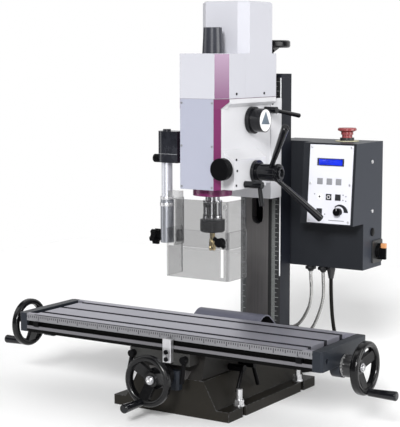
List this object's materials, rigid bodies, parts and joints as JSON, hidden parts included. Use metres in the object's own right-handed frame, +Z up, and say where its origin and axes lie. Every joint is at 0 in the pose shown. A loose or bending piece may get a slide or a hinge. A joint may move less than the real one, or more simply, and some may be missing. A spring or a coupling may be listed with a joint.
{
  "type": "milling drilling machine",
  "caption": "Bench milling and drilling machine: cross table with handwheels, dovetail column, belt driven head with feed levers, clear tool guard and side control box.",
  "frame": {"origin": "middle of the base foot's underside on the bench", "axes": "+X to the operator's right along the table, +Y to the back, +Z up"},
  "size_m": [0.9192, 0.685, 0.803],
  "materials": {
    "base_iron": "dark grey paint on cast iron",
    "column_iron": "dark blue-grey paint on cast iron",
    "ground_iron": "ground and brushed along its length",
    "bracket_iron": "grey paint on cast iron",
    "zinc_steel": "zinc plated",
    "steel": "turned",
    "black_steel": "black",
    "bronze": "machined bronze",
    "aluminium": "satin",
    "coated_tool": "gold coloured coating",
    "head_paint": "light lilac-white paint on cast iron",
    "panel_plastic": "light lilac-grey",
    "cover_plastic": "light lilac-white",
    "magenta_plastic": "dark magenta",
    "motor_paint": "black paint",
    "black_plastic": "gloss black",
    "black_rubber": "matte black",
    "cable_rubber": "satin black",
    "grey_plastic": "mid grey",
    "clear_plastic": "clear sheet",
    "box_paint": "dark blue-grey powder coat",
    "white_panel": "printed foil",
    "red_plastic": "red"
  },
  "bodies": {
    "base": {"base_casting": "base_iron", "base_fittings": "zinc_steel", "column": "column_iron", "column_fittings": "column_iron", "way_cover": "black_rubber", "control_box": "box_paint", "control_panel": "white_panel", "drive_controller": "black_plastic", "cable_fittings": "grey_plastic", "conduit_front": "grey_plastic", "conduit_rear": "grey_plastic", "mains_cable": "cable_rubber", "mains_cable_coil": "cable_rubber", "mains_plug": "cable_rubber"},
    "cross_slide": {"saddle": "column_iron", "saddle_fittings": "bronze"},
    "work_table": {"table": "ground_iron", "table_fittings": "bracket_iron"},
    "x_screw": {"x_leadscrew": "steel", "x_handwheels": "black_plastic"},
    "right_grip": {"x_right_grip": "black_plastic"},
    "left_grip": {"x_left_grip": "black_plastic"},
    "y_screw": {"y_leadscrew": "steel", "y_handwheel": "black_plastic"},
    "front_grip": {"y_grip": "black_plastic"},
    "z_screw": {"z_screw_and_wheel": "steel"},
    "head": {"head_casting": "head_paint", "front_panel": "panel_plastic", "accent_trim": "magenta_plastic", "belt_cover": "cover_plastic", "motor_cover": "cover_plastic", "drawbar_cap": "black_plastic", "motor": "motor_paint", "drive_belt": "black_rubber", "z_nut": "bronze", "guard_bracket": "black_plastic"},
    "quill_tube": {"quill": "steel"},
    "tool_spindle": {"spindle": "steel", "collet_chuck": "steel", "end_mill": "coated_tool"},
    "motor_rotor": {"motor_pulley": "steel"},
    "belt_sleeve": {"spindle_pulley": "aluminium"},
    "feed_shaft": {"feed_levers": "black_steel"},
    "fine_feed": {"fine_feed_knob": "black_plastic"},
    "selector": {"gear_selector": "black_plastic"},
    "z_clamp": {"z_clamp_lever": "steel"},
    "quill_clamp": {"quill_clamp_lever": "black_steel"},
    "x_clamp_l": {"x_clamp_left": "steel"},
    "x_clamp_r": {"x_clamp_right": "steel"},
    "y_clamp_f": {"y_clamp_front": "steel"},
    "y_clamp_r": {"y_clamp_rear": "steel"},
    "estop": {"estop_button": "red_plastic"},
    "main_switch": {"main_switch_handle": "red_plastic"},
    "speed_dial": {"speed_knob": "black_plastic"},
    "guard_arm": {"guard_post": "aluminium", "upper_shield": "clear_plastic"},
    "guard_slide": {"lower_shield": "clear_plastic"},
    "sleeve_knob": {"star_knob": "black_plastic"},
    "slot_knob": {"wing_knob": "black_plastic"},
    "bracket_knob": {"guard_bracket_knob": "black_plastic"}
  },
  "joints": [
    {"name": "y_slide", "type": "slide", "parent": "base", "child": "cross_slide", "axis": [0, 1, 0], "range_m": [-0.005, 0.16], "deforming": ["way_cover"]},
    {"name": "x_slide", "type": "slide", "parent": "cross_slide", "child": "work_table", "axis": [1, 0, 0], "range_m": [-0.237, 0.237]},
    {"name": "z_slide", "type": "slide", "parent": "base", "child": "head", "axis": [0, 0, 1], "range_m": [-0.073, 0.07]},
    {"name": "x_screw_turn", "type": "hinge", "parent": "work_table", "child": "x_screw", "pos_m": [0, -0.1189, 0.129], "axis": [1, 0, 0], "range_deg": [-21350, 21350]},
    {"name": "y_screw_turn", "type": "hinge", "parent": "base", "child": "y_screw", "pos_m": [0, 0, 0.08], "axis": [0, 1, 0], "range_deg": [-470, 14420]},
    {"name": "z_screw_turn", "type": "hinge", "parent": "base", "child": "z_screw", "pos_m": [0, 0.197, 0], "axis": [0, 0, 1], "range_deg": [-6590, 6320]},
    {"name": "right_grip_turn", "type": "hinge", "parent": "x_screw", "child": "right_grip", "pos_m": [0, -0.1189, 0.085], "axis": [1, 0, 0], "continuous": true},
    {"name": "left_grip_turn", "type": "hinge", "parent": "x_screw", "child": "left_grip", "pos_m": [0, -0.1189, 0.085], "axis": [1, 0, 0], "continuous": true},
    {"name": "front_grip_turn", "type": "hinge", "parent": "y_screw", "child": "front_grip", "pos_m": [-0.01213, 0, 0.0377], "axis": [0, 1, 0], "continuous": true},
    {"name": "quill_slide", "type": "slide", "parent": "head", "child": "quill_tube", "axis": [0, 0, -1], "range_m": [0, 0.05], "stiffness_N_per_m": 300, "springref_m": -0.25},
    {"name": "spindle_turn", "type": "hinge", "parent": "quill_tube", "child": "tool_spindle", "pos_m": [0, -0.019, 0], "axis": [0, 0, 1], "continuous": true},
    {"name": "motor_turn", "type": "hinge", "parent": "head", "child": "motor_rotor", "pos_m": [0, 0.085, 0], "axis": [0, 0, 1], "continuous": true},
    {"name": "sleeve_turn", "type": "hinge", "parent": "head", "child": "belt_sleeve", "pos_m": [0, -0.019, 0], "axis": [0, 0, 1], "continuous": true},
    {"name": "feed_turn", "type": "hinge", "parent": "head", "child": "feed_shaft", "pos_m": [0, 0.03, 0.462], "axis": [1, 0, 0], "range_deg": [0, 148.1]},
    {"name": "fine_feed_turn", "type": "hinge", "parent": "head", "child": "fine_feed", "pos_m": [0.062, 0, 0.4745], "axis": [0, 1, 0], "continuous": true},
    {"name": "selector_turn", "type": "hinge", "parent": "head", "child": "selector", "pos_m": [0, 0.052, 0.5645], "axis": [1, 0, 0], "range_deg": [0, 180]},
    {"name": "z_clamp_turn", "type": "hinge", "parent": "head", "child": "z_clamp", "pos_m": [0, 0.108, 0.583], "axis": [1, 0, 0], "range_deg": [-40, 40]},
    {"name": "quill_clamp_turn", "type": "hinge", "parent": "head", "child": "quill_clamp", "pos_m": [0, -0.012, 0.44], "axis": [1, 0, 0], "range_deg": [-60, 60]},
    {"name": "x_clamp_left_turn", "type": "hinge", "parent": "cross_slide", "child": "x_clamp_l", "pos_m": [-0.06, 0, 0.121], "axis": [0, 1, 0], "range_deg": [-15, 40]},
    {"name": "x_clamp_right_turn", "type": "hinge", "parent": "cross_slide", "child": "x_clamp_r", "pos_m": [0.06, 0, 0.121], "axis": [0, 1, 0], "range_deg": [-40, 0]},
    {"name": "y_clamp_front_turn", "type": "hinge", "parent": "cross_slide", "child": "y_clamp_f", "pos_m": [0, -0.075, 0.083], "axis": [1, 0, 0], "range_deg": [-40, 40]},
    {"name": "y_clamp_rear_turn", "type": "hinge", "parent": "cross_slide", "child": "y_clamp_r", "pos_m": [0, -0.034, 0.083], "axis": [1, 0, 0], "range_deg": [-40, 40]},
    {"name": "estop_press", "type": "slide", "parent": "base", "child": "estop", "axis": [0, 0, -1], "range_m": [0, 0.005], "stiffness_N_per_m": 1500, "springref_m": -0.004},
    {"name": "main_switch_turn", "type": "hinge", "parent": "base", "child": "main_switch", "pos_m": [0, 0.287, 0.281], "axis": [1, 0, 0], "range_deg": [0, 90]},
    {"name": "speed_turn", "type": "hinge", "parent": "base", "child": "speed_dial", "pos_m": [0.187, 0.17435, 0.3734], "axis": [0, -0.9966, 0.0826], "range_deg": [0, 270]},
    {"name": "guard_swing", "type": "hinge", "parent": "head", "child": "guard_arm", "pos_m": [-0.084, -0.058, 0], "axis": [0, 0, 1], "range_deg": [-100, 0]},
    {"name": "guard_height", "type": "slide", "parent": "guard_arm", "child": "guard_slide", "axis": [0, 0, 1], "range_m": [0, 0.05]},
    {"name": "sleeve_knob_turn", "type": "hinge", "parent": "guard_arm", "child": "sleeve_knob", "pos_m": [0, -0.058, 0.328], "axis": [1, 0, 0], "continuous": true},
    {"name": "slot_knob_turn", "type": "hinge", "parent": "guard_arm", "child": "slot_knob", "pos_m": [0.069, 0, 0.333], "axis": [0, 1, 0], "continuous": true},
    {"name": "bracket_knob_turn", "type": "hinge", "parent": "head", "child": "bracket_knob", "pos_m": [0, -0.058, 0.488], "axis": [1, 0, 0], "continuous": true}
  ],
  "couplings": [
    {"joint": "x_screw_turn", "follows": "x_slide", "rad_per_m": 1570.8},
    {"joint": "y_screw_turn", "follows": "y_slide", "rad_per_m": 1570.8},
    {"joint": "z_screw_turn", "follows": "z_slide", "rad_per_m": 1570.8},
    {"joint": "feed_turn", "follows": "quill_slide", "rad_per_m": 51.546},
    {"joint": "motor_turn", "follows": "spindle_turn", "ratio": 1.6667},
    {"joint": "sleeve_turn", "follows": "spindle_turn", "ratio": 1}
  ]
}
